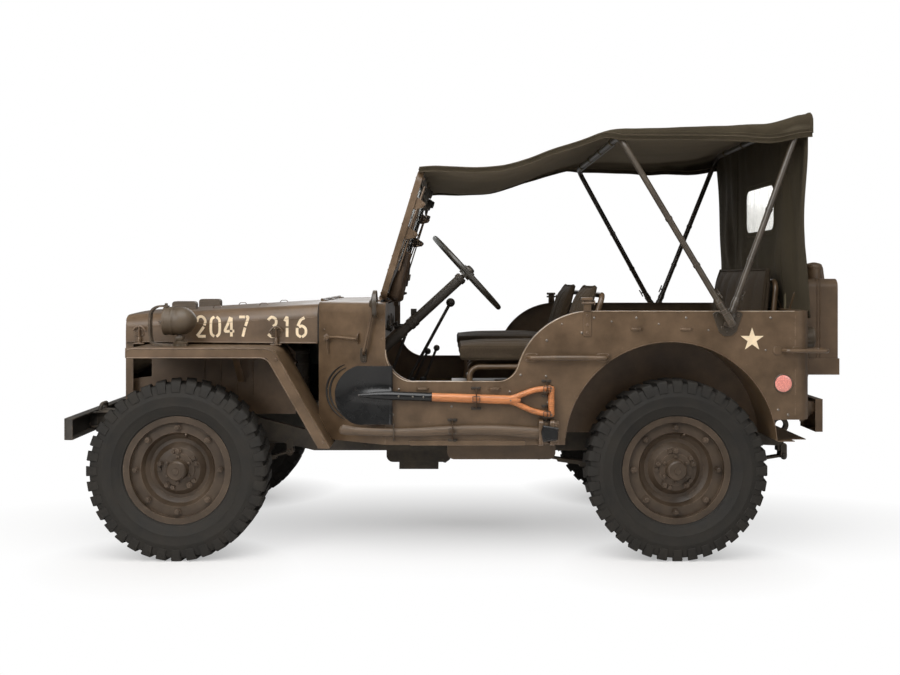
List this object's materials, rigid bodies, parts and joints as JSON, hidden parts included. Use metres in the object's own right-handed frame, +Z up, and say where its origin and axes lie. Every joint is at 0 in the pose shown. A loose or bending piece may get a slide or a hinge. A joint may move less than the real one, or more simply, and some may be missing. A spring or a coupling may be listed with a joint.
{
  "type": "light army car",
  "caption": "Open light army car with four driven wheels, folded canvas top on bows, spare wheel, fuel can and pioneer tools.",
  "frame": {"origin": "on the ground below the middle of the whole car", "axes": "+X forward, +Y to the car's left, +Z up"},
  "size_m": [3.2819, 1.5748, 1.831],
  "materials": {
    "body_paint": "matt olive drab paint, worn to metal on edges",
    "wheel_paint": "matt olive drab paint, dusty",
    "lamp_paint": "matt olive drab paint and glass",
    "chassis": "matt dark paint with oil and dust",
    "engine_paint": "matt dark green paint",
    "exhaust_steel": "rusted steel",
    "bow_steel": "matt paint worn on the tubes",
    "tyre": "dark rubber",
    "wood": "weathered wood",
    "tool_wood": "varnished orange brown wood and black steel",
    "canvas": "woven cotton canvas",
    "seat_canvas": "woven cotton canvas",
    "bag_leather": "dark brown leather",
    "steering_rim": "dark hard rubber",
    "glass": "clear flat glass"
  },
  "bodies": {
    "car": {"frame": "chassis", "front_bumper": "body_paint", "grille": "body_paint", "lamps": "lamp_paint", "radiator": "chassis", "cowl": "body_paint", "tub_side_left": "body_paint", "tub_side_right": "body_paint", "tub_rear_panel": "body_paint", "tub_floor": "body_paint", "wheel_wells": "body_paint", "fender_left": "body_paint", "fender_right": "body_paint", "engine": "engine_paint", "transfer_case": "chassis", "fuel_tank": "chassis", "exhaust": "exhaust_steel", "front_axle": "chassis", "rear_axle": "chassis", "leaf_springs": "chassis", "drive_shafts": "chassis", "spare_wheel": "wheel_paint", "spare_tyre": "tyre", "can_holder": "body_paint", "rear_fittings": "body_paint", "tow_hook": "body_paint", "jerry_can": "body_paint", "windshield_frame": "body_paint", "windshield_glass": "glass", "top_bows": "bow_steel", "canopy": "canvas", "rear_curtain": "canvas", "driver_seat_frame": "body_paint", "seat_pads": "seat_canvas", "rear_seat_frame": "body_paint", "steering_column": "body_paint", "levers": "bow_steel", "shovel": "tool_wood", "axe": "body_paint", "grab_handles": "body_paint", "mirror": "bow_steel", "hanging_bag": "bag_leather"},
    "hood": {"hood": "body_paint", "hood_blocks": "wood"},
    "knuckle_left": {"knuckle_left": "chassis"},
    "knuckle_right": {"knuckle_right": "chassis"},
    "tie_rod": {"tie_rod": "chassis"},
    "steering_wheel": {"steering_wheel": "steering_rim"},
    "passenger_seat": {"passenger_seat_frame": "body_paint", "passenger_seat_pads": "seat_canvas"},
    "wheel_front_left": {"wheel_front_left": "wheel_paint", "tyre_front_left": "tyre"},
    "wheel_front_right": {"wheel_front_right": "wheel_paint", "tyre_front_right": "tyre"},
    "wheel_rear_left": {"wheel_rear_left": "wheel_paint", "tyre_rear_left": "tyre"},
    "wheel_rear_right": {"wheel_rear_right": "wheel_paint", "tyre_rear_right": "tyre"}
  },
  "joints": [
    {"name": "steer_left", "type": "hinge", "parent": "car", "child": "knuckle_left", "pos_m": [1.181, 0.52, 0.3675], "axis": [0, 0, 1], "range_deg": [-26, 26]},
    {"name": "steer_right", "type": "hinge", "parent": "car", "child": "knuckle_right", "pos_m": [1.181, -0.52, 0.3675], "axis": [0, 0, 1], "range_deg": [-26, 26]},
    {"name": "tie_rod_pivot", "type": "hinge", "parent": "knuckle_left", "child": "tie_rod", "pos_m": [1.346, 0.52, 0.3875], "axis": [0, 0, 1], "range_deg": [-26, 26]},
    {"name": "steering_wheel_turn", "type": "hinge", "parent": "car", "child": "steering_wheel", "pos_m": [-0.004, 0.36, 1.173], "axis": [-0.7373, 0, 0.6756], "range_deg": [-364, 364]},
    {"name": "roll_front_left", "type": "hinge", "parent": "knuckle_left", "child": "wheel_front_left", "pos_m": [1.181, 0.6225, 0.3675], "axis": [0, 1, 0], "continuous": true},
    {"name": "roll_front_right", "type": "hinge", "parent": "knuckle_right", "child": "wheel_front_right", "pos_m": [1.181, -0.6225, 0.3675], "axis": [0, 1, 0], "continuous": true},
    {"name": "roll_rear_left", "type": "hinge", "parent": "car", "child": "wheel_rear_left", "pos_m": [-0.851, 0.6225, 0.3675], "axis": [0, 1, 0], "continuous": true},
    {"name": "roll_rear_right", "type": "hinge", "parent": "car", "child": "wheel_rear_right", "pos_m": [-0.851, -0.6225, 0.3675], "axis": [0, 1, 0], "continuous": true},
    {"name": "hood_lift", "type": "hinge", "parent": "car", "child": "hood", "pos_m": [0.623, 0, 1.0563], "axis": [0, -1, 0], "range_deg": [0, 115]},
    {"name": "passenger_seat_tip", "type": "hinge", "parent": "car", "child": "passenger_seat", "pos_m": [-0.013, -0.375, 0.5063], "axis": [0, 1, 0], "range_deg": [0, 45]}
  ],
  "couplings": [
    {"joint": "steer_right", "follows": "steer_left", "ratio": 1},
    {"joint": "tie_rod_pivot", "follows": "steer_left", "ratio": -1},
    {"joint": "steering_wheel_turn", "follows": "steer_left", "ratio": 14}
  ]
}
